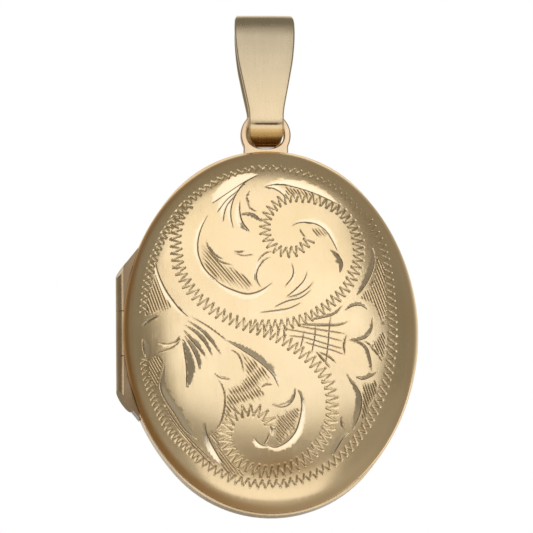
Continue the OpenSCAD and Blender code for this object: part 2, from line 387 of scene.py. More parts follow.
UPPER_SCROLL = [
    (0.05, 0.34, [(-4.85, 9.05), (-5.4, 8.0), (-5.7, 7.0), (-5.75, 6.0), (-5.55, 5.2), (-5.2, 4.5)]),
    (0.05, 0.30, [(-5.7, 5.6), (-5.4, 4.8), (-4.9, 4.1), (-4.2, 3.5)]),
    (0.05, 0.50, [(-4.7, 3.85), (-3.9, 3.2), (-3.0, 2.75), (-2.0, 2.45), (-1.1, 2.6), (-0.3, 3.05),
                  (0.1, 3.4)]),
    (0.18, 0.06, [(-5.1, 6.9), (-4.9, 6.2), (-4.4, 5.6), (-3.7, 5.25)]),
    (0.14, 0.05, [(-4.95, 6.1), (-4.3, 5.3), (-3.7, 4.95), (-3.0, 4.8)]),
    (0.10, 0.12, [(-3.0, 5.95), (-2.5, 5.85), (-2.0, 5.95)]),
    (0.07, 0.07, [(-2.9, 5.8), (-2.2, 5.55), (-1.3, 5.65)]),
    (0.05, 0.24, [(0.1, 5.45), (-0.5, 5.2), (-1.0, 4.6), (-1.2, 3.9), (-1.05, 3.3), (-0.75, 2.9)]),
    (0.05, 0.12, [(0.2, 5.9), (-0.4, 5.75), (-0.9, 5.3), (-1.1, 5.0)]),
    (0.22, 0.05, [(1.6, 5.0), (1.75, 4.3), (1.6, 3.7), (1.0, 3.0)]),
    (0.26, 0.05, [(2.85, 4.35), (2.6, 3.6), (2.0, 2.9), (1.1, 2.15)]),
    (0.22, 0.05, [(3.35, 3.5), (2.8, 2.85), (2.1, 2.4), (1.2, 2.15)]),
    (0.24, 0.05, [(3.2, 2.85), (2.3, 2.15), (1.2, 1.85), (0.1, 1.35)]),
    (0.26, 0.05, [(2.4, 1.8), (1.4, 1.3), (0.3, 1.1), (-1.0, 0.95)]),
    (0.55, 0.05, [(-0.5, 11.2), (0.3, 11.45), (1.3, 11.45), (2.7, 11.1), (4.0, 10.6), (5.4, 9.9)]),
    (0.30, 0.05, [(-0.4, 11.2), (0.3, 11.15), (0.9, 10.8), (1.4, 10.2)]),
    (0.36, 0.05, [(1.6, 7.85), (2.1, 8.2), (2.9, 8.3), (3.8, 8.1), (4.5, 7.5), (5.0, 6.6), (5.3, 5.9)]),
    (0.05, 0.32, [(4.6, 6.1), (5.2, 5.75), (5.6, 5.1), (5.6, 4.6), (5.4, 4.1)]),
    (0.05, 0.10, [(2.3, 7.8), (2.5, 7.4), (2.8, 7.0)]),
    (0.05, 0.36, [(8.1, 6.4), (8.25, 5.6), (8.15, 4.8), (7.85, 4.0), (7.4, 3.2), (6.7, 2.3)]),
]
FLOWER = [
    (0.24, 0.05, [(5.7, 1.1), (6.3, 1.5), (7.0, 1.6), (7.6, 1.25)]),
    (0.05, 0.24, [(7.95, 0.7), (7.85, -0.3), (7.4, -0.95), (6.7, -1.2), (5.9, -1.25)]),
    (0.05, 0.22, [(5.9, -1.25), (6.8, -1.35), (7.4, -1.8), (7.65, -2.6), (7.8, -3.7)]),
    (0.22, 0.05, [(6.45, -4.1), (7.0, -4.3), (7.6, -4.1), (8.2, -3.75)]),
    (0.07, 0.07, [(7.0, -1.2), (7.6, -1.5), (8.2, -2.2), (8.65, -2.9)]),
    (0.05, 0.42, [(5.7, -3.85), (6.2, -4.5), (6.7, -5.2), (6.9, -5.9), (6.8, -6.8), (6.5, -7.6),
                  (6.2, -8.3)]),
    (0.15, 0.15, [(5.25, -7.3), (5.3, -7.8), (5.55, -8.3)]),
    (0.05, 0.38, [(5.9, -8.45), (5.4, -8.9), (4.9, -9.7), (4.5, -10.3)]),
]
BASKET = [
    (0.05, 0.20, [(0.5, -0.3), (1.5, -0.45), (2.5, -0.65), (3.5, -0.85), (4.8, -1.15), (5.6, -1.35)]),
    (0.05, 0.20, [(1.0, -0.9), (2.2, -1.0), (3.2, -1.25), (4.5, -1.65), (5.6, -1.95)]),
    (0.05, 0.20, [(2.3, -1.35), (3.6, -1.75), (4.8, -2.1), (5.6, -2.4)]),
    (0.05, 0.14, [(1.8, -0.1), (3.2, -0.35), (4.6, -0.55), (5.8, -0.75)]),
    (0.18, 0.05, [(2.6, 0.3), (3.7, 0.5), (4.8, 0.8), (5.2, 1.15), (5.6, 1.6)]),
    (0.18, 0.05, [(1.7, 0.0), (3.0, -0.05), (4.6, -0.08), (5.4, 0.0), (6.1, 0.3)]),
    (0.12, 0.05, [(0.95, -0.1), (0.9, -0.7), (0.95, -1.2)]),
    (0.14, 0.05, [(2.45, -0.5), (2.35, -1.2), (2.15, -1.9)]),
    (0.16, 0.05, [(3.35, 0.2), (3.35, -0.8), (3.2, -1.6), (3.0, -2.4)]),
    (0.16, 0.05, [(4.65, 0.9), (4.5, 0.0), (4.4, -1.2), (4.25, -2.3), (4.1, -3.3)]),
    (0.10, 0.14, [(5.85, -0.7), (5.65, -1.5), (5.65, -2.4)]),
    (0.16, 0.05, [(3.3, -2.1), (3.9, -2.8), (4.5, -3.5)]),
    (0.12, 0.05, [(3.5, -2.15), (4.4, -2.6), (5.0, -3.1)]),
]
LEFT_LEAVES = [
    (0.05, 0.32, [(-9.1, 5.4), (-8.95, 4.6), (-8.7, 3.8), (-8.3, 2.9), (-7.8, 2.1), (-7.2, 1.3),
                  (-6.5, 0.65)]),
    (0.20, 0.15, [(-10.2, 0.05), (-9.6, 0.5), (-8.9, 0.85)]),
    (0.50, 0.06, [(-10.1, -0.9), (-10.05, -1.6), (-9.9, -2.3)]),
    (0.06, 0.16, [(-9.0, -1.3), (-8.1, -1.4), (-7.5, -1.2), (-7.2, -0.75)]),
    (0.07, 0.08, [(-9.3, -2.2), (-8.5, -1.95), (-7.9, -1.75), (-7.4, -1.4), (-7.15, -1.0)]),
    (0.07, 0.05, [(-6.4, 0.75), (-5.2, 0.0), (-4.2, -0.75), (-3.5, -1.35)]),
    (0.22, 0.05, [(-6.7, 0.45), (-5.6, -0.4), (-4.8, -1.3), (-4.0, -2.4)]),
    (0.26, 0.05, [(-6.9, 0.1), (-6.0, -0.6), (-5.3, -1.4), (-4.7, -2.5)]),
    (0.26, 0.05, [(-7.0, -0.3), (-6.3, -1.2), (-5.7, -1.9), (-5.2, -2.6)]),
    (0.32, 0.05, [(-6.9, -0.8), (-6.3, -1.8), (-5.9, -2.7), (-5.7, -3.6)]),
    (0.60, 0.05, [(-7.05, -1.0), (-6.85, -2.2), (-6.7, -3.4), (-6.75, -5.0)]),
    (0.46, 0.05, [(-3.7, -1.2), (-2.6, -1.85), (-1.5, -2.6), (-0.6, -3.35), (0.05, -4.1), (0.45, -5.0)]),
    (0.10, 0.08, [(-3.5, -1.9), (-2.9, -2.2), (-2.5, -2.8), (-2.3, -3.8)]),
    (0.10, 0.20, [(-4.55, -3.85), (-4.1, -4.2), (-3.3, -4.3)]),
    (0.12, 0.05, [(-4.4, -4.1), (-4.0, -4.8), (-3.8, -5.6), (-3.85, -6.6), (-4.1, -7.6), (-4.5, -8.3)]),
    (0.52, 0.05, [(-8.45, -3.1), (-8.7, -4.2), (-8.7, -5.0), (-8.3, -5.9), (-7.6, -7.0), (-6.9, -8.1),
                  (-5.9, -8.95)]),
    (0.07, 0.07, [(-8.75, -5.5), (-8.0, -6.9), (-7.0, -8.3), (-5.9, -9.5), (-4.4, -10.9)]),
    (0.07, 0.07, [(-8.5, -6.3), (-7.7, -7.6), (-6.5, -9.1), (-5.4, -10.3), (-4.3, -11.3)]),
    (0.05, 0.50, [(-5.35, -7.6), (-5.25, -8.3), (-4.9, -9.2), (-4.4, -10.1), (-3.9, -10.9)]),
]
LOWER_SCROLL = [
    (0.22, 0.05, [(-0.2, -6.35), (0.6, -6.5), (1.2, -6.3), (1.6, -5.75), (1.7, -4.95)]),
    (0.42, 0.05, [(1.7, -4.95), (2.1, -5.6), (2.2, -6.4), (2.05, -7.4), (1.7, -8.4), (1.0, -9.2),
                  (0.1, -9.6), (-0.8, -9.35)]),
    (0.30, 0.05, [(-0.5, -9.55), (-1.1, -9.35), (-1.6, -8.8)]),
    (0.06, 0.08, [(-0.35, -8.5), (-0.55, -9.0), (-0.8, -9.4)]),
    (0.16, 0.16, [(-0.3, -7.8), (-0.2, -8.2), (-0.15, -8.6)]),
    (0.12, 0.12, [(-1.0, -5.0), (-0.5, -4.75), (-0.05, -4.8)]),
    (0.09, 0.09, [(-1.2, -5.2), (-0.85, -5.4), (-0.8, -5.7)]),
]
# Shading lines: (angle in degrees, spacing, corners of the patch they fill)
SHADING = [
    (-51, 0.21, [(-5.55, 6.7), (-5.1, 6.2), (-4.2, 5.1), (-2.9, 4.6), (-2.3, 4.1), (-1.4, 3.0),
                 (-1.7, 2.6), (-3.0, 2.85), (-4.3, 3.65), (-5.3, 4.9), (-5.65, 6.0)]),
    (-55, 0.20, [(1.1, 11.4), (2.6, 11.05), (3.9, 10.6), (3.4, 10.45), (2.4, 10.6), (1.5, 10.5)]),
    (-52, 0.20, [(3.2, 7.9), (4.1, 7.8), (4.7, 7.1), (4.3, 7.0), (3.7, 7.1)]),
    (-70, 0.21, [(8.3, 6.0), (9.1, 4.6), (9.15, 2.0), (9.1, 0.2), (8.7, 0.0), (8.1, 1.6), (7.3, 1.9),
                 (7.0, 2.3), (7.6, 3.3), (8.2, 4.6)]),
    (-66, 0.19, [(8.1, -0.9), (8.9, -0.4), (9.0, -2.4), (8.7, -2.8), (8.3, -2.1), (7.8, -1.6)]),
    (-72, 0.20, [(6.9, -4.6), (8.2, -4.3), (8.2, -5.2), (7.6, -6.6), (6.9, -7.9), (6.9, -6.8),
                 (7.0, -5.8)]),
    (-71, 0.21, [(-9.25, 4.6), (-9.0, 4.0), (-8.5, 2.7), (-7.9, 1.7), (-8.1, 0.9), (-9.9, 1.0),
                 (-9.8, 2.4)]),
    (-56, 0.22, [(-2.6, -2.0), (-1.5, -2.75), (-0.6, -3.6), (-0.1, -4.4), (-0.9, -4.8), (-0.8, -6.0),
                 (-2.4, -6.3), (-3.3, -7.0), (-3.9, -7.8), (-3.7, -5.6), (-3.5, -4.9), (-2.5, -4.6),
                 (-2.25, -3.6), (-2.4, -2.9)]),
    (-62, 0.19, [(-9.85, -2.4), (-8.9, -2.2), (-8.55, -2.7), (-8.75, -4.9), (-9.2, -4.8), (-9.8, -3.2)]),
    (-52, 0.19, [(-5.0, -8.4), (-4.4, -8.3), (-4.1, -9.8), (-3.2, -11.0), (-2.3, -11.5), (-2.3, -12.0),
                 (-3.4, -11.8), (-4.3, -10.7)]),
    (-50, 0.19, [(0.1, -7.1), (1.3, -6.7), (2.0, -6.5), (1.95, -7.5), (1.55, -8.5), (0.4, -9.3),
                 (0.0, -8.6)]),
]
# Wriggle work: (width of the band, pitch, force of the cuts, path of its middle)
WRIGGLES = [
    (0.56, 0.56, 1.0, [
        (7.9, 8.6), (8.9, 6.4), (9.35, 3.6), (9.5, 0.6), (9.35, -2.4), (8.7, -4.9), (7.4, -7.6),
        (5.6, -9.9), (3.2, -11.6), (0.2, -12.35), (-3.0, -12.0), (-5.9, -10.4)]),
    (0.46, 0.42, 0.8, [
        (-5.9, -10.4), (-8.2, -7.9), (-9.6, -4.6), (-10.05, -2.4)]),
    (0.46, 0.50, 0.9, [
        (-10.0, 1.2), (-9.7, 3.4), (-8.9, 6.2), (-7.2, 9.2), (-5.4, 11.0)]),
    (0.34, 0.55, 0.45, [
        (-5.4, 11.0), (-3.4, 12.2), (-0.4, 12.9), (2.6, 12.5), (5.4, 11.2), (7.9, 8.6)]),
    (0.84, 0.56, 1.0, [
        (-6.5, 9.9), (-7.1, 9.0), (-7.4, 8.0), (-7.5, 6.9), (-7.45, 5.8), (-7.3, 4.8), (-6.95, 3.9),
        (-6.5, 3.1), (-5.9, 2.3), (-5.1, 1.6), (-4.2, 0.9), (-3.2, 0.4), (-2.2, 0.0), (-1.2, -0.35),
        (-0.3, -0.65), (0.5, -1.05), (1.3, -1.55), (2.2, -2.2), (3.0, -2.9), (3.7, -3.6), (4.2, -4.4),
        (4.5, -5.3), (4.6, -6.3), (4.5, -7.3), (4.25, -8.2), (3.8, -9.0), (3.2, -9.8), (2.4, -10.5),
        (1.4, -11.1), (0.2, -11.45), (-1.0, -11.45), (-2.1, -11.1), (-3.0, -10.4), (-3.6, -9.5),
        (-3.8, -8.6), (-3.6, -7.8), (-3.1, -7.2), (-2.4, -6.85), (-1.6, -6.75), (-0.9, -7.0),
        (-0.4, -7.5), (-0.3, -8.1)]),
    (0.76, 0.52, 1.0, [
        (3.1, 6.9), (2.6, 6.3), (2.0, 5.9), (1.2, 5.8), (0.4, 6.1), (-0.2, 6.8), (-0.45, 7.6),
        (-0.35, 8.5), (0.05, 9.3), (0.7, 9.95), (1.6, 10.35), (2.7, 10.4), (3.8, 10.2), (4.9, 9.75),
        (5.8, 9.1), (6.5, 8.2), (6.9, 7.2), (7.0, 6.1), (6.9, 5.0), (6.5, 4.0), (5.9, 3.0), (5.1, 2.1),
        (4.1, 1.3), (3.0, 0.65), (1.9, 0.2), (0.8, -0.05), (-0.4, -0.1), (-1.6, 0.0)]),
]


def smooth_path(points, step, closed=False):
    """Points every step or so along a rounded curve through the given ones."""
    p = np.array(points, float)
    if closed:
        p = np.vstack([p[-1], p, p[0], p[1]])
    else:
        p = np.vstack([2 * p[0] - p[1], p, 2 * p[-1] - p[-2]])
    out = []
    for a, b, c, d in zip(p[:-3], p[1:-2], p[2:-1], p[3:]):
        count = max(2, int(np.hypot(*(c - b)) / step))
        t = np.arange(count)[:, None] / count
        out.append(0.5 * (2 * b + (c - a) * t + (2 * a - 5 * b + 4 * c - d) * t ** 2
                          + (3 * b - a - 3 * c + d) * t ** 3))
    return np.vstack(out + [p[-2][None]])


class Plate:
    """The cuts on a fine grid: their depth, painted shade along deep lines, painted highlight and gloss
    on wide facets.
    """

    LINE_HALF = 0.05  # the painted groove shade reaches this far from a deep line, and fades just beyond
    WIDE_FACET = 0.13  # facets wider than this get a painted highlight and more gloss
    SHINE_FADE = 0.09  # from a facet's outer edge to its full painted highlight and gloss

    def __init__(self, half_width, half_height, cell):
        self.cell = cell
        self.low = np.array([-half_width, -half_height])
        shape = (int(2 * half_height / cell) + 1, int(2 * half_width / cell) + 1)
        self.depth = np.zeros(shape)
        # Painted shade along deep lines
        self.line = np.zeros(shape)
        # Painted highlight and gloss of wide facets
        self.gloss_and_painted_highlight = np.zeros(shape)

    def groove(self, a, b, left, right, deep, dark):
        """One straight piece of a V groove; left, right, deep and dark (strength of its painted shade)
        are pairs of end values.
        """
        reach = max(left + right) + 0.03
        low = np.floor((np.minimum(a, b) - reach - self.low) / self.cell).astype(int)
        high = np.ceil((np.maximum(a, b) + reach - self.low) / self.cell).astype(int) + 1
        low = np.maximum(low, 0)
        x = self.low[0] + self.cell * np.arange(low[0], min(high[0], self.depth.shape[1]))
        y = self.low[1] + self.cell * np.arange(low[1], min(high[1], self.depth.shape[0]))
        if not len(x) or not len(y):
            return
        run = b - a
        length = math.hypot(*run) or 1e-6
        run = run / length
        dx, dy = x[None] - a[0], y[:, None] - a[1]
        along = np.clip(dx * run[0] + dy * run[1], 0, length)
        t = along / length
        off = np.hypot(dx - along * run[0], dy - along * run[1])
        side = dy * run[0] - dx * run[1] >= 0
        wide = np.where(side, left[0] + (left[1] - left[0]) * t, right[0] + (right[1] - right[0]) * t)
        cut = (deep[0] + (deep[1] - deep[0]) * t) * np.clip(1 - off / np.maximum(wide, 1e-6), 0, 1)
        # Painted shade along the groove's deep line
        painted_groove_shade = (dark[0] + (dark[1] - dark[0]) * t) * np.clip(1.3 - off / self.LINE_HALF, 0, 1)
        # Painted highlight and gloss over wide facets
        facet_gloss_and_highlight = np.clip((wide - off) / self.SHINE_FADE, 0, 1) * (wide > self.WIDE_FACET)
        box = (slice(low[1], low[1] + len(y)), slice(low[0], low[0] + len(x)))
        self.depth[box] = np.maximum(self.depth[box], cut)
        self.line[box] = np.maximum(self.line[box], painted_groove_shade)
        self.gloss_and_painted_highlight[box] = np.maximum(self.gloss_and_painted_highlight[box], facet_gloss_and_highlight)

    def stroke(self, path, left, right, deep, dark, swell, late=1.0):
        """A cut that swells from nothing and dies away again. A late one is widest past its middle."""
        at = np.linspace(0, 1, len(path)) ** late
        size = np.maximum(np.sin(math.pi * at), 0) ** swell + 0.02
        for i in range(len(path) - 1):
            s = size[i:i + 2]
            self.groove(path[i], path[i + 1], tuple(left * s), tuple(right * s), tuple(deep * s),
                        tuple(dark * np.minimum(1, 1.6 * s)))

    def facets(self, cuts):
        """Cuts as in the tables above: the wider one is, the deeper it goes."""
        for left, right, points in cuts:
            deep = 0.014 + 0.19 * max(left, right)
            self.stroke(smooth_path(points, 0.18), left, right, deep, dark=1.0, swell=0.75, late=1.15)

    def shade(self, angle, spacing, corners):
        """Parallel fine lines across a patch, each a little long or short."""
        run = np.array([math.cos(math.radians(angle)), math.sin(math.radians(angle))])
        across = np.array([-run[1], run[0]])
        corners = np.array(corners)
        level = corners @ across
        chance = np.random.default_rng(len(corners))
        for value in np.arange(level.min() + spacing / 2, level.max(), spacing):
            hits = []
            for i in range(len(corners)):
                j = (i + 1) % len(corners)
                if (level[i] - value) * (level[j] - value) < 0:
                    share = (value - level[i]) / (level[j] - level[i])
                    hits.append(float((corners[i] + share * (corners[j] - corners[i])) @ run))
            hits.sort()
            for start, end in zip(hits[::2], hits[1::2]):
                start += chance.uniform(-0.08, 0.12)
                end += chance.uniform(-0.15, 0.10)
                if end - start > 0.2:
                    along = np.linspace(start, end, 5)
                    path = [across * value + run * t for t in along]
                    self.stroke(path, left=0.065, right=0.05, deep=0.028, dark=1.0, swell=0.35)

    def wriggle(self, width, pitch, force, points):
        """The graver walks from side to side: a zigzag with a deeper peck at each turn."""
        step = 0.05
        path = smooth_path(points, step)
        length = np.concatenate([[0], np.cumsum(np.hypot(*np.diff(path, axis=0).T))])
        count = int(length[-1] / pitch) * 2
        chance = np.random.default_rng(count)
        at = np.linspace(0, length[-1], count + 1)
        middle, ahead, behind = (
            np.stack([np.interp(at + shift, length, path[:, k]) for k in (0, 1)], axis=1)
            for shift in (0, step, -step))
        run = ahead - behind
        run /= np.hypot(*run.T)[:, None]
        out = np.stack([-run[:, 1], run[:, 0]], axis=1)
        sides = 1 - 2 * (np.arange(count + 1) % 2)
        turns = middle + out * (width / 2 * sides * chance.uniform(0.88, 1.08, count + 1))[:, None]
        deep, dark = (0.060 * force, 0.016 * force), (0.66 * force, 0.06)
        for a, b in zip(turns[:-1], turns[1:]):
            self.groove(a, b, left=(0.12, 0.05), right=(0.09, 0.03), deep=deep, dark=dark)

    def read(self, field, x, y):
        """Value of a field at points, between grid cells."""
        column = np.clip((x - self.low[0]) / self.cell, 0, field.shape[1] - 1.001)
        row = np.clip((y - self.low[1]) / self.cell, 0, field.shape[0] - 1.001)
        c, r = column.astype(int), row.astype(int)
        fc, fr = column - c, row - r
        top = field[r, c] * (1 - fc) + field[r, c + 1] * fc
        bottom = field[r + 1, c] * (1 - fc) + field[r + 1, c + 1] * fc
        return top * (1 - fr) + bottom * fr


def engrave():
    """Every cut of the front cover."""
    plate = Plate(COVER_A, COVER_B, PLATE_CELL)
    for patch in SHADING:
        plate.shade(*patch)
    for cuts in (FAN_LEAF, UPPER_SCROLL, FLOWER, BASKET, LEFT_LEAVES, LOWER_SCROLL):
        plate.facets(cuts)
    for band in WRIGGLES:
        plate.wriggle(*band)
    return plate


# ---------------------------------------------------------------- adaptive mesh
def sag_of(points, normals):
    """How far each grid point stands from the middle of the edge that a coarser mesh has there.

    The edges are those of repeatedly halved right triangles, and a point's value is at least
    that of every point that depends on it, so that keeping all points over a limit leaves no gaps.
    """
    size = points.shape[0]
    sag = np.zeros((size, size))

    def own(i, j, down, across):
        """Distance from the middle between two neighbours, along the normal."""
        middle = (points[i - down, j - across] + points[i + down, j + across]) / 2
        return np.abs(((points[i, j] - middle) * normals[i, j]).sum(axis=-1))

    step = 1
    while 2 * step < size:
        odd, even = np.arange(step, size, 2 * step), np.arange(0, size, 2 * step)
        half = step // 2
        for rows, columns, down, across in ((odd, even, step, 0), (even, odd, 0, step)):
            i, j = np.meshgrid(rows, columns, indexing="ij")
            value = own(i, j, down, across)
            if half:
                for di, dj in ((-half, -half), (-half, half), (half, -half), (half, half)):
                    ii, jj = i + di, j + dj
                    inside = (ii >= 0) & (ii < size) & (jj >= 0) & (jj < size)
                    near = sag[np.clip(ii, 0, size - 1), np.clip(jj, 0, size - 1)]
                    value = np.maximum(value, np.where(inside, near, 0))
            sag[i, j] = value
        i, j = np.meshgrid(odd, odd, indexing="ij")
        falling = ((i - step) // (2 * step) + (j - step) // (2 * step)) % 2 == 0
        for way, chosen in ((step, falling), (-step, ~falling)):
            sag[i[chosen], j[chosen]] = own(i, j, step, way)[chosen]
        for di, dj in ((-step, 0), (step, 0), (0, -step), (0, step)):
            sag[i, j] = np.maximum(sag[i, j], sag[i + di, j + dj])
        step *= 2
    return sag


def halved_triangles(sag, limit):
    """Triangles of grid points, split wherever the point in the long edge's middle is over the limit."""
    last = sag.shape[0] - 1
    todo = np.array([[[0, 0], [last, last], [last, 0]], [[last, last], [0, 0], [0, last]]])
    done = []
    while len(todo):
        a, b, c = todo[:, 0], todo[:, 1], todo[:, 2]
        middle = (a + b) // 2
        whole = ((a + b) % 2 == 0).all(axis=1)
        split = whole & (sag[middle[:, 0], middle[:, 1]] > limit)
        done.append(todo[~split])
        a, b, c, middle = a[split], b[split], c[split], middle[split]
        todo = np.concatenate([np.stack([c, a, middle], axis=1), np.stack([b, c, middle], axis=1)])
    return np.concatenate(done)


def painted_foot_shade_and_brown_spot(points):
    """How brown the gold is painted: painted shade in the crease round the dome's foot, most at the
    hinge, and a brown spot low down.
    """
    x, y, z = np.moveaxis(points, -1, 0)
    # Painted shade round the foot, strongest on the hinge side
    hinge_side = np.clip(0.42 - 0.6 * x / COVER_A - 0.18 * y / COVER_B, 0.2, 1)
    near_foot = np.clip((FOOT + 1.04 - z) / 0.22, 0, 1)
    low_spot = np.exp(-((x - 0.3) / 3.0) ** 2 - ((y + 11.0) / 1.1) ** 2)
    return np.maximum(hinge_side * near_foot, 0.6 * low_spot)


def square_edge(used, size):
    """Those of the used grid points that lie on the square's outline, in order round it."""
    row, column = used // size, used % size
    edge = np.flatnonzero((row == 0) | (row == size - 1) | (column == 0) | (column == size - 1))
    line = np.linspace(-1, 1, size)
    turn = np.arctan2(line[row[edge]], line[column[edge]])
    first = -0.75 * math.pi - 1e-6
    return edge[np.argsort(np.where(turn < first, turn + 2 * math.pi, turn))]


def front_cover():
    """The engraved cover: a fine grid of the square, kept only where the cuts need it."""
    line = np.linspace(-1, 1, FINE_GRID)
    v, u = np.meshgrid(line, line, indexing="ij")
    plain = cover_surface(u, v)
    normal = np.cross(np.gradient(plain, axis=1), np.gradient(plain, axis=0))
    normal /= np.linalg.norm(normal, axis=-1, keepdims=True)
    plate = engrave()
    x, y = plain[..., 0], plain[..., 1]
    points = plain - normal * plate.read(plate.depth, x, y)[..., None]
    facing = np.cross(np.gradient(points, axis=1), np.gradient(points, axis=0))
    triangles = halved_triangles(sag_of(points, normal), CUT_TOLERANCE)
    used, faces = np.unique(triangles[..., 0] * FINE_GRID + triangles[..., 1], return_inverse=True)
    outer = points.reshape(-1, 3)[used]
    edge = square_edge(used, FINE_GRID)
    placed, faces = closed_cover(outer, faces.reshape(-1, 3), edge, front=True)
    cover = new_object("engraved_cover", placed, faces, "front_half", ["front_shell"], cover_gold)
    # Shade by the full grid's slopes; the foot and the inner skin keep the mesh's own normals
    slopes = np.zeros((len(placed), 3))
    slopes[:len(outer)] = facing.reshape(-1, 3)[used][:, [0, 2, 1]] * (1, -1, 1)
    slopes[edge] = 0
    slopes /= np.maximum(np.linalg.norm(slopes, axis=1, keepdims=True), 1e-12)
    cover.data.normals_split_custom_set_from_vertices(slopes)
    # Painted shade along engraved lines, painted highlight and gloss on wide facets, painted shade at
    # the foot with a brown spot
    fields = {"cut": plate.read(plate.line, x, y), "gloss_and_painted_highlight": plate.read(plate.gloss_and_painted_highlight, x, y),
              "foot_shade_and_brown_spot": painted_foot_shade_and_brown_spot(plain)}
    for label, field in fields.items():
        values = np.zeros(len(placed), dtype=np.float32)
        values[:len(outer)] = field.reshape(-1)[used]
        cover.data.attributes.new(label, "FLOAT", "POINT").data.foreach_set("value", values)


# ---------------------------------------------------------------- bail and loop
def loft(rings):
    """Closed skin over rings of points that run round in the same sense."""
    count, size = rings.shape[:2]
    faces = []
    for i in range(count):
        ahead = (i + 1) % count
        for j in range(size):
            k = (j + 1) % size
            faces.append((i * size + j, i * size + k, ahead * size + k, ahead * size + j))
    return rings.reshape(-1, 3), faces


def bail():
    """Folded strap with a cambered face and bevelled edges, in the row's frame."""
    top, foot = bail_hi[2], bail_lo[2]
    thick, bevel = 0.4, 0.13
    # Outer face from the top of the fold down the front to the bottom bend: (depth, height)
    front = [(0, top), (0.55, top - 0.11), (0.96, top - 0.42), (1.22, top - 0.95), (1.40, top - 1.7),
             (1.53, top - 2.6), (1.64, top - 3.7), (1.71, top - 5.0), (1.73, top - 6.4),
             (1.70, top - 7.7), (1.64, foot + 2.3), (1.59, foot + 1.8), (1.52, foot + 1.5),
             (1.40, foot + 1.25), (1.18, foot + 0.85), (0.84, foot + 0.40), (0.45, foot + 0.10),
             (0, foot)]
    outline = front + [(-d, z) for d, z in front[-2:0:-1]]
    path = smooth_path(outline, 0.12, closed=True)[:-1]
    run = np.roll(path, -1, axis=0) - np.roll(path, 1, axis=0)
    run /= np.hypot(*run.T)[:, None]
    inward = np.stack([run[:, 1], -run[:, 0]], axis=1)
    # Half width at heights above the foot
    widths = smooth_path([(0, 0.88), (0.2, 1.14), (0.45, 1.29), (0.8, 1.38), (1.2, 1.40), (1.9, 1.40),
                          (2.6, 1.43), (3.6, 1.6), (4.6, 1.8), (5.7, 2.01), (6.8, 2.21), (8.2, 2.37),
                          (9.6, 2.44), (10.6, 2.38), (top - foot, 2.2)], 0.1)
    rings = []
    for (depth, z), way in zip(path, inward):
        # The back leg is a little narrower, above the loop
        slim = 0.12 * np.clip(-depth / 1.2, 0, 1) * np.clip((z - foot - 2.0) / 1.2, 0, 1)
        half = np.interp(z - foot, widths[:, 0], widths[:, 1]) - slim
        # Half of the section, from its edge to its middle: how far across, how far below the face
        across = np.array([half, half - 0.03, half - 0.4 * bevel, half - bevel, half * 0.6, 0.0])
        drop = np.array([0.11, 0.06, 0.028, 0.010, 0.004, 0.0])
        x = np.concatenate([across, -across[-2::-1], -across[:2], across[1::-1]])
        sink = np.concatenate([drop, drop[-2::-1], [thick - 0.05, thick], [thick, thick - 0.05]])
        rings.append(np.stack([x, -(depth + way[0] * sink), z + way[1] * sink], axis=1))
    points, faces = loft(np.array(rings))
    new_object("strap_bail", points * MM, faces, "bail", ["bail"], bail_gold)


def pendant_loop():
    """Flat ring with softened edges and a flared foot that runs into the back rim."""
    ring = loop_hi[0]
    centre = loop_hi[2] - ring
    half_depth = (loop_hi[1] - loop_lo[1]) / 2
    foot_half, foot_reach, sunk, narrowest = 1.80, 2.8, 0.12, 0.12
    # The rounding of each edge: how far in from the edge, how far below the face
    soft = np.array([0.0, 0.02, 0.06, 0.12])
    edge = np.array([0.12, 0.055, 0.015, 0.0])
    rings = []
    for turn in np.linspace(0, 2 * math.pi, 121)[:-1]:
        way = np.array([math.cos(turn), math.sin(turn)])
        reach = ring
        hole = 1.46 - 0.34 * max(-way[1], 0) ** 3
        if way[1] < 0:
            flare = foot_half / max(abs(way[0]), 1e-6)
            deep = (centre - (CENTRE_Z + RIM_B) + sunk + 0.09 * (way[0] * ring) ** 2) / -way[1]
            reach = min(max(ring, min(flare, foot_reach)), max(deep, hole + narrowest))
        radius = np.concatenate([hole + soft, (reach - soft)[::-1], reach - soft, (hole + soft)[::-1]])
        depth = np.concatenate([half_depth - edge, (half_depth - edge)[::-1],
                                edge - half_depth, (edge - half_depth)[::-1]])
        rings.append(np.stack([radius * way[0], -depth, centre + radius * way[1]], axis=1))
    points, faces = loft(np.array(rings))
    new_object("soldered_loop", points * MM, faces, "back_half", ["pendant_loop"], loop_gold)


front_cover()
back_cover()
bail()
pendant_loop()

# ---------------------------------------------------------------- CAD nodes that stay
# (material, width of the softened edges or 0, nodes)
KEPT = [
    (rim_gold, 0.13, ["front_rim", "back_rim"]),
    (inner_gold, 0.10, ["front_bezel", "back_bezel"]),
    (inner_gold, 0.08, ["snap_lip"]),
    (inner_gold, 0.0, ["catch_pip"]),
    (window_clear, 0.0, ["front_window", "back_window"]),
    (card_ivory, 0.0, ["front_picture", "back_picture"]),
    (painted_shade_bar_gold, 0.30, ["front_hinge_bearer", "back_hinge_bearer"]),
    (hinge_gold, 0.07, ["front_hinge_knuckle", "upper_hinge_knuckle", "lower_hinge_knuckle"]),
    (hinge_gold, 0.0, ["hinge_pin"]),
]


def dress(node, material, softened):
    """Gives a CAD node its material and, where it has sharp edges that show, soft ones."""
    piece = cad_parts[node]
    piece.data.materials.clear()
    piece.data.materials.append(material)
    if softened:
        edges = piece.modifiers.new("softened_edges", "BEVEL")
        edges.width = softened * MM
        edges.segments = 3
        edges.limit_method = "ANGLE"
        edges.angle_limit = math.radians(38)
        edges.harden_normals = True


for material, softened, names in KEPT:
    for node in names:
        dress(node, material, softened)


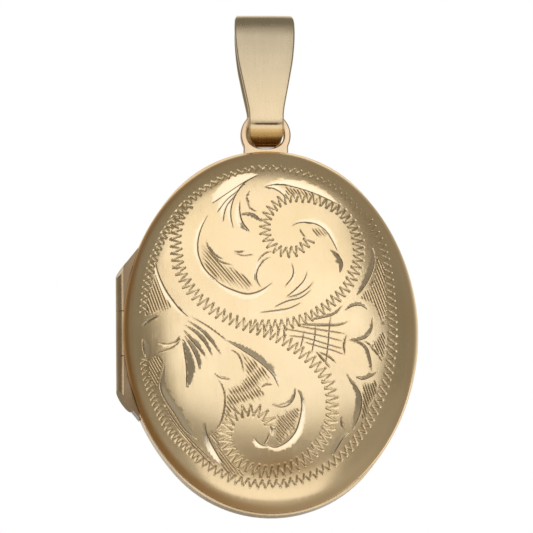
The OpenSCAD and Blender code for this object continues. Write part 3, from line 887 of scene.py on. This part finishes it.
# ---------------------------------------------------------------- stage, lights, camera
def stage_floor():
    """Pale floor far below the hanging locket."""
    mesh = bpy.data.meshes.new("floor")
    half, height = 3.0, -0.25
    mesh.from_pydata([(-half, -half, height), (half, -half, height), (half, half, height),
                      (-half, half, height)], [], [(0, 1, 2, 3)])
    floor = bpy.data.objects.new("floor", mesh)
    bpy.context.collection.objects.link(floor)
    nodes = Nodes("pale_floor")
    tint = nodes.mix(nodes.noise(3.0, 2.0), (0.80, 0.79, 0.77), (0.84, 0.83, 0.81))
    nodes.link(tint, nodes.shader.inputs["Base Color"])
    nodes.shader.inputs["Roughness"].default_value = 0.8
    # The floor shows paler than it lights the polished gold
    seen = nodes.add("ShaderNodeLightPath").outputs["Is Camera Ray"]
    nodes.link(tint, nodes.shader.inputs["Emission Color"])
    nodes.link(nodes.maths("MULTIPLY", seen, 0.62), nodes.shader.inputs["Emission Strength"])
    mesh.materials.append(nodes.material)


def softbox(name, place, width, height, radiance, colour=(1, 1, 1)):
    """A lit panel that faces the locket and that reflections show, but the camera doesn't."""
    light = bpy.data.lights.new(name, "AREA")
    light.shape = "RECTANGLE"
    light.size = width
    light.size_y = height
    light.energy = radiance * math.pi * width * height
    light.color = colour
    obj = bpy.data.objects.new(name, light)
    obj.location = place
    obj.rotation_mode = "QUATERNION"
    obj.rotation_quaternion = (Vector((0, 0, CENTRE_Z * MM)) - Vector(place)).to_track_quat("-Z", "Y")
    obj.visible_camera = False
    bpy.context.collection.objects.link(obj)
    return obj


def studio():
    """White to the camera, dimmer to reflections, darkest in front where the camera stands."""
    world = bpy.data.worlds.new("studio")
    world.use_nodes = True
    bpy.context.scene.world = world
    tree = world.node_tree
    background = tree.nodes["Background"]
    seen = tree.nodes.new("ShaderNodeBackground")
    seen.inputs["Color"].default_value = (1, 1, 1, 1)
    seen.inputs["Strength"].default_value = 1.0
    way = tree.nodes.new("ShaderNodeTexCoord")
    split = tree.nodes.new("ShaderNodeSeparateXYZ")
    ramp = tree.nodes.new("ShaderNodeValToRGB")
    reach = tree.nodes.new("ShaderNodeMapRange")
    reach.inputs["From Min"].default_value = -1.0
    tree.links.new(way.outputs["Generated"], split.inputs[0])
    tree.links.new(split.outputs["Y"], reach.inputs["Value"])
    tree.links.new(reach.outputs["Result"], ramp.inputs[0])
    in_front, beside, behind = (0.212, 0.196, 0.168, 1), (0.30, 0.278, 0.24, 1), (0.80, 0.785, 0.76, 1)
    ramp.color_ramp.elements[0].color = in_front
    ramp.color_ramp.elements[1].color = behind
    ramp.color_ramp.elements.new(0.5).color = beside
    tree.links.new(ramp.outputs[0], background.inputs["Color"])
    path = tree.nodes.new("ShaderNodeLightPath")
    blend = tree.nodes.new("ShaderNodeMixShader")
    tree.links.new(path.outputs["Is Camera Ray"], blend.inputs[0])
    tree.links.new(background.outputs[0], blend.inputs[1])
    tree.links.new(seen.outputs[0], blend.inputs[2])
    tree.links.new(blend.outputs[0], tree.nodes["World Output"].inputs["Surface"])
    bpy.context.scene.view_settings.view_transform = "Standard"


def lights():
    """Broad boxes in front for the gold to reflect, weaker ones from below, above and behind."""
    softbox("front_low", (0.04, -0.415, 0.02), 0.42, 0.133, 0.95, (0.98, 1.0, 1.06))
    softbox("front_high", (-0.02, -0.37, 0.175), 0.42, 0.20, 0.90)
    softbox("table_glow", (0.0, -0.24, -0.168), 0.26, 0.12, 0.66, (1.0, 0.99, 1.0))
    softbox("top_box", (0.0, 0.28, 0.36), 0.5, 0.4, 0.5)
    softbox("back_box", (0.30, 0.30, -0.13), 0.28, 0.22, 0.85)
    # A narrow beam that lights the picture cards through their windows
    fill = softbox("card_fill", (0.0, -0.36, 0.03), 0.10, 0.10, 2.1)
    fill.visible_glossy = False
    fill.data.spread = math.radians(30)


def camera():
    """Long lens, a little below and left of the locket."""
    azimuth, elevation, roll = math.radians(-4.0), math.radians(-12.5), math.radians(1.0)
    lens = 180.0
    width = 42.6 * MM  # of the view, at the locket
    aim = Vector((-0.1, 0.0, -19.15)) * MM
    data = bpy.data.cameras.new("camera")
    data.lens = lens
    data.clip_start = 0.01
    data.clip_end = 20
    cam = bpy.data.objects.new("camera", data)
    back = Vector((math.sin(azimuth) * math.cos(elevation),
                   -math.cos(azimuth) * math.cos(elevation), math.sin(elevation)))
    distance = width * lens / data.sensor_width
    turn = (-back).to_track_quat("-Z", "Y").to_matrix() @ Matrix.Rotation(-roll, 3, "Z")
    cam.location = aim + back * distance
    cam.rotation_mode = "QUATERNION"
    cam.rotation_quaternion = turn.to_quaternion()
    bpy.context.collection.objects.link(cam)
    bpy.context.scene.camera = cam


stage_floor()
studio()
lights()
camera()
